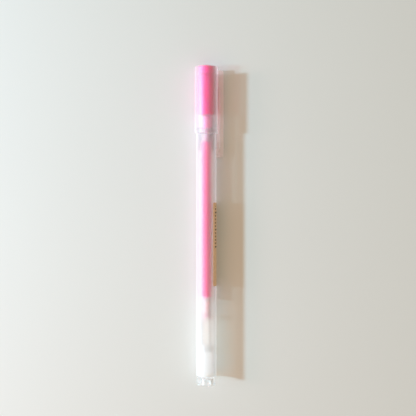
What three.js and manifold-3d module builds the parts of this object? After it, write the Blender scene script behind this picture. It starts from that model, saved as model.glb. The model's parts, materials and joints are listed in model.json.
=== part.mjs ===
// Fabric marking pen: a capped gel-ink pen with a frosted see-through barrel, lying on its side.
//
// Units are millimetres. The pen's axis runs along +Y, from the tail plug to the crown of the cap, and
// +Z is up from the surface that the pen lies on. The pen is rolled about its axis until the clip's
// edge touches that surface. The origin is under the middle of the pen's box, on the surface.
import * as THREE from "three";
import { mergeVertices } from "three/addons/utils/BufferGeometryUtils.js";
import Module from "manifold-3d";

// ---- Driving dimensions -------------------------------------------------------------------------

// Barrel
const BARREL_LENGTH = 113.5;
const BARREL_DIAMETER = 9.3;
const BARREL_WALL = 0.9;
const BARREL_CHAMFER = 0.25;

// Tail plug: a knob outside the barrel, a ribbed spigot inside it, and a socket for the refill's end
const KNOB_LENGTH = 4.2;
const KNOB_DIAMETER = 8.8;
const KNOB_EDGE_RADIUS = 1.0;
const KNOB_SHOULDER_CHAMFER = 0.2;
const KNOB_RECESS_DIAMETER = 4.8;
const KNOB_RECESS_DEPTH = 3.0;
const VENT_DIAMETER = 1.2;
const TAIL_SPIGOT_LENGTH = 8.0;
const TAIL_SPIGOT_CLEARANCE = 0.3;
const RIB_COUNT = 3;
const RIB_PITCH = 1.2;
const RIB_LENGTH = 0.5;
const RIB_CLEARANCE = 0.05;
const RIB_FROM_SPIGOT_END = 1.6;
const SOCKET_DEPTH = 3.2;
const SOCKET_FLOOR = 3.6;
const SOCKET_WALL = 0.6;

// Label: a paper sticker wrapped round the barrel, centred on the clip's side
const LABEL_LENGTH = 39;
const LABEL_WIDTH = 12;
const LABEL_THICKNESS = 0.12;
const LABEL_LIFT = 0.04;
const LABEL_FROM_BARREL_TAIL = 42.2;

// Nose: a spigot in the barrel's front, a neck for the cap, and a cone round the metal tip
const NOSE_SPIGOT_LENGTH = 8;
const NOSE_SPIGOT_CLEARANCE = 0.1;
const NECK_STEP = 0.35;
const NECK_LENGTH = 5.4;
const NECK_RIDGE_HEIGHT = 0.09;
const NECK_RIDGE_LENGTH = 1.0;
const NECK_RIDGE_FROM_SHOULDER = 1.8;
const NOSE_SHOULDER_LENGTH = 3.1;
const NOSE_WALL = 0.5;
const NOSE_TIP_WALL = 0.5;
const NOSE_EDGE = 0.2;

// Refill
const TUBE_DIAMETER = 4.4;
const TUBE_WALL = 0.6;
const TUBE_REACH = 2.2; // how far the tube goes into the nose, past the barrel's end
const EMPTY_LENGTH = 17.5; // tube left empty behind the follower
const FOLLOWER_LENGTH = 7.0;
const VALVE_LENGTH = 6.0;
const VALVE_ORIFICE_DIAMETER = 0.8;
const VALVE_ORIFICE_LENGTH = 1.2;
const VALVE_CHAMBER_DIAMETER = 1.6;
const VALVE_CHAMBER_LENGTH = 2.2;
const CHECK_BALL_DIAMETER = 1.2;
const HOLDER_SPIGOT_DIAMETER = 2.1;
const HOLDER_BODY_LENGTH = 6;
const HOLDER_CONE_LENGTH = 6.2;
const HOLDER_LIP = 0.35; // how far the holder's front stands out round the metal tip
const INK_BORE_DIAMETER = 1.0;
const TIP_DIAMETER = 2.3;
const TIP_LENGTH = 6.6;
const TIP_CONE_LENGTH = 3.55; // from the metal tip's shoulder to the centre of the ball
const TIP_SHANK_DIAMETER = 1.8;
const TIP_SHANK_LENGTH = 3.3;
const TIP_BORE_DIAMETER = 0.6;
const BALL_DIAMETER = 0.7;
const BALL_CLEARANCE = 0.04;
const BALL_RIM_DIAMETER = 0.62;
const BALL_RIM_WALL = 0.06;

// Cap
const CAP_WALL = 0.9;
const CAP_LIP_LENGTH = 2.2;
const CAP_GROOVE_LENGTH = 0.3;
const CAP_GROOVE_DEPTH = 0.12;
const CAP_END_RADIUS = 0.6;
const CAP_MOUTH_CHAMFER = 0.2;
const CAP_STEP_LENGTH = 0.6;
const LINER_WALL = 0.57;
const LINER_FLOOR = 1;
const LINER_INSET = 0.2; // from the foot of the nose's cone to the liner's mouth
const SEAL_THICKNESS = 1.2;
const SEAL_GAP = 0.2;
const CROWN_LENGTH = 4.4;
const CROWN_DOME = 0.6;
const CROWN_SEAM = 0.25;
const CROWN_EDGE = 0.15;

// Clip
const CLIP_FROM_CAP_END = 1.7;
const CLIP_LENGTH = 40.8;
const CLIP_ROOT_LENGTH = 8;
const CLIP_WIDTH = 3.6;
const CLIP_THICKNESS = 2;
const CLIP_STANDOFF = 0.95;
const CLIP_HINGE_GAP = 0.15;
const CLIP_END_RADIUS = 0.8;
const BEAD_LENGTH = 5;
const BEAD_GAP = 0.3;

// Clearances shared by several pieces
const SEAT_GAP = 0.1; // between two faces that butt together
const PRESS_GAP = 0.05; // round and behind a piece pressed into another
const REFILL_CLEARANCE = 0.15; // round the refill, in the nose and in the tail socket
const CAP_CLEARANCE = 0.15; // round the neck, in the cap
const LINER_CLEARANCE = 0.2; // round the nose, in the cap's liner
const LINER_PRESS_GAP = 0.08; // round the liner and the crown, in the cap's shell

// Facets round each turned piece
const LARGE_FACETS = 48;
const MEDIUM_FACETS = 32;
const SMALL_FACETS = 24;
const LABEL_FACETS = 24;
const ARC_STEPS = 4;
const SHOULDER_STEPS = 6;

// ---- Worked-out radii ---------------------------------------------------------------------------

const barrelRadius = BARREL_DIAMETER / 2;
const boreRadius = barrelRadius - BARREL_WALL;
const neckRadius = barrelRadius - NECK_STEP;
const capBoreRadius = neckRadius + CAP_CLEARANCE;
const capRadius = capBoreRadius + CAP_WALL;
const tubeRadius = TUBE_DIAMETER / 2;
const tubeBoreRadius = tubeRadius - TUBE_WALL;
const inkRadius = tubeBoreRadius - PRESS_GAP;
const refillBoreRadius = tubeRadius + REFILL_CLEARANCE;
const coneFootRadius = refillBoreRadius + NOSE_WALL;
const tipRadius = TIP_DIAMETER / 2;
const tipBoreRadius = tipRadius + REFILL_CLEARANCE;
const coneEndRadius = tipBoreRadius + NOSE_TIP_WALL;
const linerRadius = coneFootRadius + LINER_CLEARANCE + LINER_WALL;
const linerPocketRadius = coneEndRadius + LINER_CLEARANCE;
const crownBoreRadius = linerRadius + LINER_PRESS_GAP;
const ballRadius = BALL_DIAMETER / 2;
const clipInner = capRadius + CLIP_STANDOFF;
const clipOuter = clipInner + CLIP_THICKNESS;

// ---- Stations along the axis, from the end of the tail knob -----------------------------------------

const barrelStart = KNOB_LENGTH + SEAT_GAP;
const barrelEnd = barrelStart + BARREL_LENGTH;
const neckStart = barrelEnd + SEAT_GAP;
const tailSpigotEnd = KNOB_LENGTH + TAIL_SPIGOT_LENGTH;
const socketFloor = tailSpigotEnd + SOCKET_FLOOR;
const tubeStart = socketFloor + SEAT_GAP;
const tubeEnd = neckStart + TUBE_REACH;
const valveStart = tubeEnd - VALVE_LENGTH;
const followerStart = tubeStart + EMPTY_LENGTH;
const inkStart = followerStart + FOLLOWER_LENGTH + PRESS_GAP;
const inkEnd = valveStart - PRESS_GAP;
const holderStart = tubeEnd + PRESS_GAP;
const holderConeStart = holderStart + HOLDER_BODY_LENGTH;
const holderEnd = holderConeStart + HOLDER_CONE_LENGTH;
const tipStart = holderEnd + PRESS_GAP;
const noseEnd = tipStart + TIP_LENGTH;
const ballCentre = noseEnd + TIP_CONE_LENGTH;
const coneFoot = neckStart + NECK_LENGTH + NOSE_SHOULDER_LENGTH;
const linerStart = coneFoot + LINER_INSET;
const sealStart = ballCentre + ballRadius + SEAL_GAP;
const linerEnd = sealStart + SEAL_THICKNESS + PRESS_GAP + LINER_FLOOR;
const crownStart = linerEnd + CROWN_SEAM;
const crownEnd = crownStart + CROWN_LENGTH;
const shellEnd = crownEnd - CROWN_DOME;
const capLength = shellEnd - neckStart;
const clipTop = shellEnd - CLIP_FROM_CAP_END;
const clipRootStart = clipTop - CLIP_ROOT_LENGTH;
const clipEnd = clipTop - CLIP_LENGTH;

// ---- Materials ------------------------------------------------------------------------------------

function material(color, roughness, metalness = 0, opacity = 1) {
  const transparent = opacity < 1;
  return new THREE.MeshStandardMaterial({ color, roughness, metalness, opacity, transparent });
}

const frosted = () => material(0xf1edef, 0.5, 0, 0.45);
const clear = () => material(0xf4f6f8, 0.15, 0, 0.4);
const pinkPlastic = () => material(0xe2568f, 0.45);

// ---- Geometry helpers -------------------------------------------------------------------------------

const wasm = await Module();
wasm.setup();

/** A solid of revolution about Y. The outline's [radius, height] points run anticlockwise. */
function turned(outline, facets) {
  return new THREE.LatheGeometry(outline.map(([r, y]) => new THREE.Vector2(r, y)), facets);
}

/** The same for a ring or tube, whose outline never meets the axis: the last point is the first. */
function turnedRing(outline, facets) {
  return turned([...outline, outline[0]], facets);
}

/** Points on an arc about [r, y], from one angle to another, in degrees from the +r direction. */
function arc(r, y, radius, from, to, steps = ARC_STEPS) {
  return Array.from({ length: steps + 1 }, (_, i) => {
    const angle = THREE.MathUtils.degToRad(from + ((to - from) * i) / steps);
    return [r + radius * Math.cos(angle), y + radius * Math.sin(angle)];
  });
}

/** A closed geometry as a manifold-3d solid. */
function toSolid(geometry) {
  const bare = geometry.index ? geometry.toNonIndexed() : geometry.clone();
  bare.deleteAttribute("normal");
  bare.deleteAttribute("uv");
  const merged = mergeVertices(bare, 1e-3);
  const vertProperties = merged.attributes.position.array;
  const triVerts = new Uint32Array(merged.index.array);
  return new wasm.Manifold(new wasm.Mesh({ numProp: 3, vertProperties, triVerts }));
}

/** A manifold-3d solid as a geometry. */
function toGeometry(solid) {
  const mesh = solid.getMesh();
  const geometry = new THREE.BufferGeometry();
  geometry.setAttribute("position", new THREE.BufferAttribute(mesh.vertProperties, 3));
  geometry.setIndex(new THREE.BufferAttribute(mesh.triVerts, 1));
  geometry.computeVertexNormals();
  return geometry;
}

/** An outline in X and Y, drawn out along Z to a width centred on Z = 0. */
function centredExtrusion(shape, width) {
  const options = { depth: width, bevelEnabled: false, curveSegments: ARC_STEPS };
  return new THREE.ExtrudeGeometry(shape, options).translate(0, 0, -width / 2);
}

/** A named piece whose own origin is at a station on the pen's axis. */
function piece(name, geometry, look, station) {
  const mesh = new THREE.Mesh(geometry, look);
  mesh.name = name;
  mesh.position.y = station;
  return mesh;
}

// ---- Barrel -----------------------------------------------------------------------------------------

function barrel() {
  const c = BARREL_CHAMFER;
  const outline = [
    [boreRadius, 0],
    [barrelRadius - c, 0],
    [barrelRadius, c],
    [barrelRadius, BARREL_LENGTH - c],
    [barrelRadius - c, BARREL_LENGTH],
    [boreRadius, BARREL_LENGTH],
  ];
  return piece("barrel", turnedRing(outline, LARGE_FACETS), frosted(), barrelStart);
}

/** One sealing rib of the tail plug: a raised band with sloping sides. */
function rib(start, root, crest) {
  const slope = Math.min(RIB_LENGTH / 3, crest - root);
  return [
    [root, start],
    [crest, start + slope],
    [crest, start + RIB_LENGTH - slope],
    [root, start + RIB_LENGTH],
  ];
}

function tailPlug() {
  const knob = KNOB_DIAMETER / 2;
  const vent = VENT_DIAMETER / 2;
  const recess = KNOB_RECESS_DIAMETER / 2;
  const spigot = boreRadius - TAIL_SPIGOT_CLEARANCE;
  const crest = boreRadius - RIB_CLEARANCE;
  const sleeve = refillBoreRadius + SOCKET_WALL;
  const sleeveEnd = socketFloor + SOCKET_DEPTH;
  const firstRib = tailSpigotEnd - RIB_FROM_SPIGOT_END - RIB_LENGTH - (RIB_COUNT - 1) * RIB_PITCH;
  const ribs = Array.from({ length: RIB_COUNT }, (_, i) => rib(firstRib + i * RIB_PITCH, spigot, crest));
  const outline = [
    [vent, KNOB_RECESS_DEPTH],
    [recess, KNOB_RECESS_DEPTH],
    [recess, 0],
    ...arc(knob - KNOB_EDGE_RADIUS, KNOB_EDGE_RADIUS, KNOB_EDGE_RADIUS, -90, 0),
    [knob, KNOB_LENGTH - KNOB_SHOULDER_CHAMFER],
    [knob - KNOB_SHOULDER_CHAMFER, KNOB_LENGTH],
    [spigot, KNOB_LENGTH],
    ...ribs.flat(),
    [spigot, tailSpigotEnd],
    [sleeve, tailSpigotEnd],
    [sleeve, sleeveEnd],
    [refillBoreRadius, sleeveEnd],
    [refillBoreRadius, socketFloor],
    [vent, socketFloor],
  ];
  return piece("tail_plug", turnedRing(outline, MEDIUM_FACETS), clear(), 0);
}

/** The sticker: a strip of a thin tube, as wide round the barrel as it is when laid flat. */
function label() {
  const inner = barrelRadius + LABEL_LIFT;
  const outer = inner + LABEL_THICKNESS;
  const half = LABEL_WIDTH / 2 / barrelRadius;
  const shape = new THREE.Shape();
  shape.absarc(0, 0, outer, -half, half, false);
  shape.absarc(0, 0, inner, half, -half, true);
  shape.closePath();
  const geometry = new THREE.ExtrudeGeometry(shape, {
    depth: LABEL_LENGTH,
    bevelEnabled: false,
    curveSegments: LABEL_FACETS,
  });
  geometry.rotateX(-Math.PI / 2);
  return piece("label", geometry, material(0xcda774, 0.85), barrelStart + LABEL_FROM_BARREL_TAIL);
}

// ---- Nose -------------------------------------------------------------------------------------------

/** The neck's grip ridge, which the cap rides over. */
function neckRidge(start) {
  const slope = NECK_RIDGE_LENGTH / 3;
  const crest = neckRadius + NECK_RIDGE_HEIGHT;
  return [
    [neckRadius, start],
    [crest, start + slope],
    [crest, start + NECK_RIDGE_LENGTH - slope],
    [neckRadius, start + NECK_RIDGE_LENGTH],
  ];
}

/** A smooth step from one radius to another, half a cosine wave long. */
function shoulder(fromRadius, toRadius, start, length) {
  return Array.from({ length: SHOULDER_STEPS + 1 }, (_, i) => {
    const share = (1 + Math.cos((Math.PI * i) / SHOULDER_STEPS)) / 2;
    return [toRadius + (fromRadius - toRadius) * share, start + (length * i) / SHOULDER_STEPS];
  });
}

function noseCone() {
  const start = neckStart - NOSE_SPIGOT_LENGTH;
  const at = (station) => station - start;
  const spigot = boreRadius - NOSE_SPIGOT_CLEARANCE;
  const e = NOSE_EDGE;
  const neckEnd = neckStart + NECK_LENGTH;
  const outline = [
    [refillBoreRadius, 0],
    [spigot - e, 0],
    [spigot, e],
    [spigot, at(neckStart)],
    [neckRadius, at(neckStart)],
    ...neckRidge(at(neckStart) + NECK_RIDGE_FROM_SHOULDER),
    ...shoulder(neckRadius, coneFootRadius, at(neckEnd), NOSE_SHOULDER_LENGTH),
    [coneEndRadius, at(noseEnd) - e],
    [coneEndRadius - e, at(noseEnd)],
    [tipBoreRadius, at(noseEnd)],
    [tipBoreRadius, at(holderEnd) + REFILL_CLEARANCE],
    [tipRadius + HOLDER_LIP + REFILL_CLEARANCE, at(holderEnd) + REFILL_CLEARANCE],
    [refillBoreRadius, at(holderConeStart)],
  ];
  return piece("nose_cone", turnedRing(outline, LARGE_FACETS), frosted(), start);
}

// ---- Refill -----------------------------------------------------------------------------------------

function refillTube() {
  const length = tubeEnd - tubeStart;
  const outline = [
    [tubeBoreRadius, 0],
    [tubeRadius, 0],
    [tubeRadius, length],
    [tubeBoreRadius, length],
  ];
  const look = material(0xf3eef0, 0.35, 0, 0.4);
  return piece("refill_tube", turnedRing(outline, MEDIUM_FACETS), look, tubeStart);
}

/** A plain filling of the tube's bore, from one station to another. */
function filling(name, start, end, look) {
  const outline = [
    [0, 0],
    [inkRadius, 0],
    [inkRadius, end - start],
    [0, end - start],
  ];
  return piece(name, turned(outline, SMALL_FACETS), look, start);
}

/** The plug in the tube's front end, with the seat and chamber of the check ball. */
function valveSeat() {
  const orifice = VALVE_ORIFICE_DIAMETER / 2;
  const chamber = VALVE_CHAMBER_DIAMETER / 2;
  const socket = HOLDER_SPIGOT_DIAMETER / 2 + PRESS_GAP;
  const chamberStart = VALVE_ORIFICE_LENGTH + chamber - orifice;
  const socketStart = chamberStart + VALVE_CHAMBER_LENGTH;
  const outline = [
    [orifice, 0],
    [inkRadius, 0],
    [inkRadius, VALVE_LENGTH],
    [socket, VALVE_LENGTH],
    [socket, socketStart],
    [chamber, socketStart],
    [chamber, chamberStart],
    [orifice, VALVE_ORIFICE_LENGTH],
  ];
  return piece("valve_seat", turnedRing(outline, SMALL_FACETS), material(0xd9d4d8, 0.5), valveStart);
}

function checkBall() {
  const radius = CHECK_BALL_DIAMETER / 2;
  const seatDrop = (VALVE_CHAMBER_DIAMETER - VALVE_ORIFICE_DIAMETER) / 2;
  const chamberStart = valveStart + VALVE_ORIFICE_LENGTH + seatDrop;
  const geometry = new THREE.SphereGeometry(radius, SMALL_FACETS, SMALL_FACETS / 2);
  const centre = chamberStart + VALVE_CHAMBER_LENGTH / 2;
  return piece("check_ball", geometry, material(0xb9bcc2, 0.2, 1), centre);
}

function tipHolder() {
  const ink = INK_BORE_DIAMETER / 2;
  const spigot = HOLDER_SPIGOT_DIAMETER / 2;
  const seatDrop = (VALVE_CHAMBER_DIAMETER - VALVE_ORIFICE_DIAMETER) / 2;
  const chamberEnd = valveStart + VALVE_ORIFICE_LENGTH + seatDrop + VALVE_CHAMBER_LENGTH;
  const start = chamberEnd + PRESS_GAP;
  const at = (station) => station - start;
  const front = tipRadius + HOLDER_LIP;
  const shankBore = TIP_SHANK_DIAMETER / 2 + PRESS_GAP;
  const shankFloor = at(tipStart) - TIP_SHANK_LENGTH - PRESS_GAP;
  const outline = [
    [ink, 0],
    [spigot, 0],
    [spigot, at(holderStart)],
    [tubeRadius, at(holderStart)],
    [tubeRadius, at(holderConeStart)],
    [front, at(holderEnd)],
    [shankBore, at(holderEnd)],
    [shankBore, shankFloor],
    [ink, shankFloor],
  ];
  return piece("tip_holder", turnedRing(outline, MEDIUM_FACETS), material(0xe7a6c6, 0.4), start);
}

/** The metal tip: a shank in the holder, a straight body, and a cone crimped round the ball. */
function pointTip() {
  const start = tipStart - TIP_SHANK_LENGTH;
  const at = (station) => station - start;
  const centre = at(ballCentre);
  const bore = TIP_BORE_DIAMETER / 2;
  const socket = ballRadius + BALL_CLEARANCE;
  const rim = BALL_RIM_DIAMETER / 2;
  const rimAngle = THREE.MathUtils.radToDeg(Math.acos(rim / socket));
  const boreAngle = THREE.MathUtils.radToDeg(Math.acos(bore / socket));
  const rimHeight = centre + socket * Math.sin(THREE.MathUtils.degToRad(rimAngle));
  const outline = [
    [bore, 0],
    [TIP_SHANK_DIAMETER / 2, 0],
    [TIP_SHANK_DIAMETER / 2, at(tipStart)],
    [tipRadius, at(tipStart)],
    [tipRadius, at(noseEnd)],
    [socket + 2 * BALL_RIM_WALL, centre],
    [rim + BALL_RIM_WALL, rimHeight],
    ...arc(0, centre, socket, rimAngle, -boreAngle, 2 * ARC_STEPS),
  ];
  return piece("point_tip", turnedRing(outline, SMALL_FACETS), material(0xc8c9cc, 0.25, 1), start);
}

function writingBall() {
  const geometry = new THREE.SphereGeometry(ballRadius, SMALL_FACETS, SMALL_FACETS / 2);
  return piece("writing_ball", geometry, material(0x9a9ca0, 0.15, 1), ballCentre);
}

// ---- Cap ----------------------------------------------------------------------------------------------

/** The block that joins the clip to the shell, near the shell's closed end. */
function clipRoot() {
  const embedded = capRadius - CAP_WALL / 2;
  const low = clipRootStart - neckStart;
  const high = clipTop - neckStart;
  const corner = CLIP_END_RADIUS;
  const shape = new THREE.Shape();
  shape.moveTo(embedded, low);
  shape.lineTo(clipOuter, low);
  shape.lineTo(clipOuter, high - corner);
  shape.absarc(clipOuter - corner, high - corner, corner, 0, Math.PI / 2, false);
  shape.lineTo(embedded, high);
  shape.closePath();
  return centredExtrusion(shape, CLIP_WIDTH);
}

function capShell() {
  const m = CAP_MOUTH_CHAMFER;
  const grooveEnd = CAP_LIP_LENGTH + CAP_GROOVE_LENGTH;
  const floor = capRadius - CAP_GROOVE_DEPTH;
  const step = linerStart - neckStart - SEAT_GAP;
  const outline = [
    [capBoreRadius + m, 0],
    [capRadius - m, 0],
    [capRadius, m],
    [capRadius, CAP_LIP_LENGTH],
    [floor, CAP_LIP_LENGTH + CAP_GROOVE_LENGTH / 3],
    [floor, grooveEnd - CAP_GROOVE_LENGTH / 3],
    [capRadius, grooveEnd],
    ...arc(capRadius - CAP_END_RADIUS, capLength - CAP_END_RADIUS, CAP_END_RADIUS, 0, 90),
    [crownBoreRadius, capLength],
    [crownBoreRadius, step],
    [capBoreRadius, step - CAP_STEP_LENGTH],
    [capBoreRadius, m],
  ];
  const shell = toSolid(turnedRing(outline, LARGE_FACETS)).add(toSolid(clipRoot()));
  return piece("cap_shell", toGeometry(shell), frosted(), neckStart);
}

/** The coloured sleeve that closes round the nose and keeps the tip from drying. */
function capLiner() {
  const length = linerEnd - linerStart;
  const mouth = coneFootRadius + LINER_CLEARANCE;
  const outline = [
    [0, length - LINER_FLOOR],
    [linerPocketRadius, length - LINER_FLOOR],
    [linerPocketRadius, noseEnd - linerStart],
    [mouth, 0],
    [linerRadius, 0],
    [linerRadius, length],
    [0, length],
  ];
  return piece("cap_liner", turned(outline, MEDIUM_FACETS), pinkPlastic(), linerStart);
}

function tipSeal() {
  const radius = linerPocketRadius - PRESS_GAP;
  const outline = [
    [0, 0],
    [radius, 0],
    [radius, SEAL_THICKNESS],
    [0, SEAL_THICKNESS],
  ];
  return piece("tip_seal", turned(outline, SMALL_FACETS), material(0xe9e6e4, 0.8), sealStart);
}

function capCrown() {
  const dome = Array.from({ length: ARC_STEPS + 1 }, (_, i) => {
    const share = 1 - i / ARC_STEPS;
    return [linerRadius * share, CROWN_LENGTH - CROWN_DOME * share ** 2];
  });
  const outline = [
    [0, 0],
    [linerRadius - CROWN_EDGE, 0],
    [linerRadius, CROWN_EDGE],
    ...dome,
  ];
  return piece("cap_crown", turned(outline, MEDIUM_FACETS), pinkPlastic(), crownStart);
}

/** The clip's springy arm, from just under its root to the bead that presses on the barrel. */
function clipArm() {
  const top = -CLIP_HINGE_GAP;
  const end = clipEnd - clipRootStart;
  const beadTop = end + BEAD_LENGTH;
  const beadFace = barrelRadius + BEAD_GAP;
  const corner = CLIP_END_RADIUS;
  const shape = new THREE.Shape();
  shape.moveTo(clipOuter, top);
  shape.lineTo(clipInner, top);
  shape.lineTo(clipInner, beadTop);
  shape.bezierCurveTo(clipInner, beadTop - BEAD_LENGTH / 3, beadFace, beadTop - BEAD_LENGTH / 3,
    beadFace, end + BEAD_LENGTH / 3);
  shape.quadraticCurveTo(beadFace, end, clipInner, end);
  shape.lineTo(clipOuter - corner, end);
  shape.absarc(clipOuter - corner, end + corner, corner, -Math.PI / 2, 0, false);
  shape.closePath();
  return piece("clip_arm", centredExtrusion(shape, CLIP_WIDTH), frosted(), clipRootStart);
}

// ---- Assembly -----------------------------------------------------------------------------------------

/** A group of pieces that move as one. */
function body(name, ...pieces) {
  const group = new THREE.Group();
  group.name = name;
  group.add(...pieces);
  return group;
}

/** The roll about the axis at which the clip's outer edge and the cap touch the same flat surface. */
function restingRoll() {
  const half = CLIP_WIDTH / 2;
  return Math.asin(capRadius / Math.hypot(clipOuter, half)) - Math.atan2(half, clipOuter);
}

const pen = new THREE.Group();
pen.name = "pen";
pen.add(
  body("barrel_body", barrel(), tailPlug(), label()),
  body(
    "refill_body",
    refillTube(),
    filling("ink_column", inkStart, inkEnd, material(0xee7faa, 0.5)),
    valveSeat(),
    tipHolder(),
    pointTip(),
  ),
  body("follower_body", filling("grease_follower", followerStart, inkStart - PRESS_GAP,
    material(0xf2dfe4, 0.3, 0, 0.7))),
  body("check_ball_body", checkBall()),
  body("writing_ball_body", writingBall()),
  body("nose_body", noseCone()),
  body("cap_body", capShell(), capLiner(), tipSeal(), capCrown()),
  body("clip_body", clipArm()),
);
pen.rotation.y = restingRoll();

// The origin goes under the middle of the box, at its lowest point.
const box = new THREE.Box3().setFromObject(pen, true);
const centre = box.getCenter(new THREE.Vector3());
pen.position.set(-centre.x, -centre.y, -box.min.z);

const model = new THREE.Group();
model.name = "fabric_marking_pen";
model.add(pen);

export default model;
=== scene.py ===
"""A capped gel-ink marking pen: frosted barrel, milky refill, pink inner cap, side clip and paper label.

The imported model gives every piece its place. Each class below is one sub-assembly of the pen: it reads where
its pieces lie, works out their surfaces with numpy and dresses them in procedural finishes. Lengths inside
the classes are millimetres. Along the pen they are stations, measured from the end of the tail knob towards
the cap's crown, and across it they are radii from the pen's axis. Meshes are written in metres in the model's
own frame.
"""

from __future__ import annotations

import json
import logging
import math
from collections.abc import Sequence
from dataclasses import dataclass, field
from enum import Enum
from typing import Any

import bpy
import numpy as np
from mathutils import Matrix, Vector


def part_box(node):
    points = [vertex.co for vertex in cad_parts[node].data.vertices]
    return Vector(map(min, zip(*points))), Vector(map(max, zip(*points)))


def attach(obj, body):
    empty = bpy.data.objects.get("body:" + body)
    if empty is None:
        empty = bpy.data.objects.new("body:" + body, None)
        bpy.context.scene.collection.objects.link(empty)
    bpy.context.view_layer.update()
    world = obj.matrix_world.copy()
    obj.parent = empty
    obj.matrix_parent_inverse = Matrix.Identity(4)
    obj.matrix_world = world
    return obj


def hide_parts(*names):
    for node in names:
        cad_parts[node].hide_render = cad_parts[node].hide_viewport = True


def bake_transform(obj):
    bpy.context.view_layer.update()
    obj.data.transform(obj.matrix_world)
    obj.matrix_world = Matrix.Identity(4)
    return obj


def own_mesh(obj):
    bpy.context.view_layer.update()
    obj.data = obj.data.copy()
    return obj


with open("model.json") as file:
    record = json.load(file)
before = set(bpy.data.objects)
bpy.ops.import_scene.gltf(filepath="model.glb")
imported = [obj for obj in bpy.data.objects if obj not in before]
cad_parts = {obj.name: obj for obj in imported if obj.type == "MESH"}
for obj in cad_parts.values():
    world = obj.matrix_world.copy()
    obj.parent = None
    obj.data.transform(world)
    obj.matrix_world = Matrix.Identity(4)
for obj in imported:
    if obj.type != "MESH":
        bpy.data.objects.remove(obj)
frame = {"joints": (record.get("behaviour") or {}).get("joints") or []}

MM = 0.001
LOG = logging.getLogger("marking_pen")
PLASTIC_IOR = 1.49
GEL_IOR = 1.45
FILLET_SHARE = 0.45

Corner = tuple[float, float] | tuple[float, float, float]
Colour = tuple[float, float, float]


# ---- The pen's own frame --------------------------------------------------------------------------------


def joint_named(name: str) -> dict[str, Any]:
    """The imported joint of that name."""
    return next(joint for joint in frame["joints"] if joint["name"] == name)


@dataclass(frozen=True)
class PenAxis:
    """The line that the pen's turned pieces share, and the roll of the clip about it.

    Angles about the axis start at the clip's outward direction and turn towards the clip's upper edge.
    """

    x: float
    z: float
    tail: float
    roll: float

    @classmethod
    def read(cls) -> PenAxis:
        """Reads the axis from the barrel, the tail from its plug and the roll from the clip's hinge."""
        low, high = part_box("barrel")
        hinge = joint_named("clip_flex")["axis"]
        return cls(
            x=(low.x + high.x) / 2,
            z=(low.z + high.z) / 2,
            tail=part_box("tail_plug")[0].y,
            roll=math.atan2(hinge[0], hinge[2]),
        )

    def place(self, across: np.ndarray, side: np.ndarray, station: np.ndarray) -> np.ndarray:
        """Turns the pen's own coordinates into points of the model's frame.

        Args:
            across: distance from the axis along the clip's outward direction, in mm.
            side: distance from the axis towards the clip's upper edge, in mm.
            station: distance from the end of the tail knob, in mm.

        Returns:
            An array of points in metres, with one more dimension than the inputs share.
        """
        across, side, station = np.broadcast_arrays(across, side, station)
        c, s = math.cos(self.roll), math.sin(self.roll)
        x = self.x + MM * (c * across + s * side)
        z = self.z + MM * (c * side - s * across)
        return np.stack([x, self.tail + MM * station, z], axis=-1)

    def point(self, across: float, side: float, station: float) -> tuple[float, float, float]:
        """One point of the model's frame, in metres."""
        x, y, z = self.place(np.array(across), np.array(side), np.array(station))
        return float(x), float(y), float(z)


@dataclass(frozen=True)
class Span:
    """Where one CAD node lies: its stations along the pen, and its radius if it is turned."""

    start: float
    end: float
    radius: float

    @classmethod
    def of(cls, node: str, axis: PenAxis) -> Span:
        """Reads a node's box.

        Args:
            node: the CAD node's name.
            axis: the pen's axis.

        Returns:
            Its span, in mm.
        """
        low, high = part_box(node)
        return cls((low.y - axis.tail) / MM, (high.y - axis.tail) / MM, (high.z - low.z) / 2 / MM)

    @property
    def middle(self) -> float:
        """The station half way along."""
        return (self.start + self.end) / 2


# ---- Outlines -------------------------------------------------------------------------------------------


def rounded(corners: Sequence[Corner], closed: bool, steps: int = 5) -> np.ndarray:
    """An outline whose corners are arcs.

    Each corner is (radius, station) or (radius, station, fillet). A fillet of radius f leaves both edges
    f / tan(half the angle between them) before the corner and runs as an arc between them. That length is at
    most FILLET_SHARE of either edge.

    Args:
        corners: the sharp outline, anticlockwise with radius to the right and station upwards.
        closed: True if the last corner joins the first.
        steps: how many pieces each arc has.

    Returns:
        The outline's points, one row each.
    """
    points = np.array([corner[:2] for corner in corners], float)
    count = len(points)
    out: list[np.ndarray] = []
    for i, corner in enumerate(corners):
        here = points[i]
        fillet = corner[2] if len(corner) > 2 else 0.0
        if not fillet or (not closed and i in (0, count - 1)):
            out.append(here[None])
            continue
        back, ahead = points[i - 1] - here, points[(i + 1) % count] - here
        back_length, ahead_length = np.linalg.norm(back), np.linalg.norm(ahead)
        back, ahead = back / back_length, ahead / ahead_length
        opening = math.acos(float(np.clip(back @ ahead, -1, 1)))
        longest = FILLET_SHARE * min(back_length, ahead_length)
        reach = min(fillet / math.tan(opening / 2), longest)
        t = np.linspace(0, 1, steps + 1)[:, None]
        start, end = here + back * reach, here + ahead * reach
        weight = math.sin(opening / 2)
        bottom = (1 - t) ** 2 + 2 * weight * t * (1 - t) + t**2
        out.append(((1 - t) ** 2 * start + 2 * weight * t * (1 - t) * here + t**2 * end) / bottom)
    return np.concatenate(out)


def eased(start: Corner, end: Corner, steps: int = 14) -> list[Corner]:
    """Corners along half a cosine wave from one point to another, both left out.

    Args:
        start: the first point, (radius, station).
        end: the last point.
        steps: how many pieces the wave has.

    Returns:
        The points between them.
    """
    t = np.arange(1, steps) / steps
    share = (1 - np.cos(np.pi * t)) / 2
    return [
        (float(start[0] + (end[0] - start[0]) * e), float(start[1] + (end[1] - start[1]) * s))
        for e, s in zip(share, t, strict=True)
    ]


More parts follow.
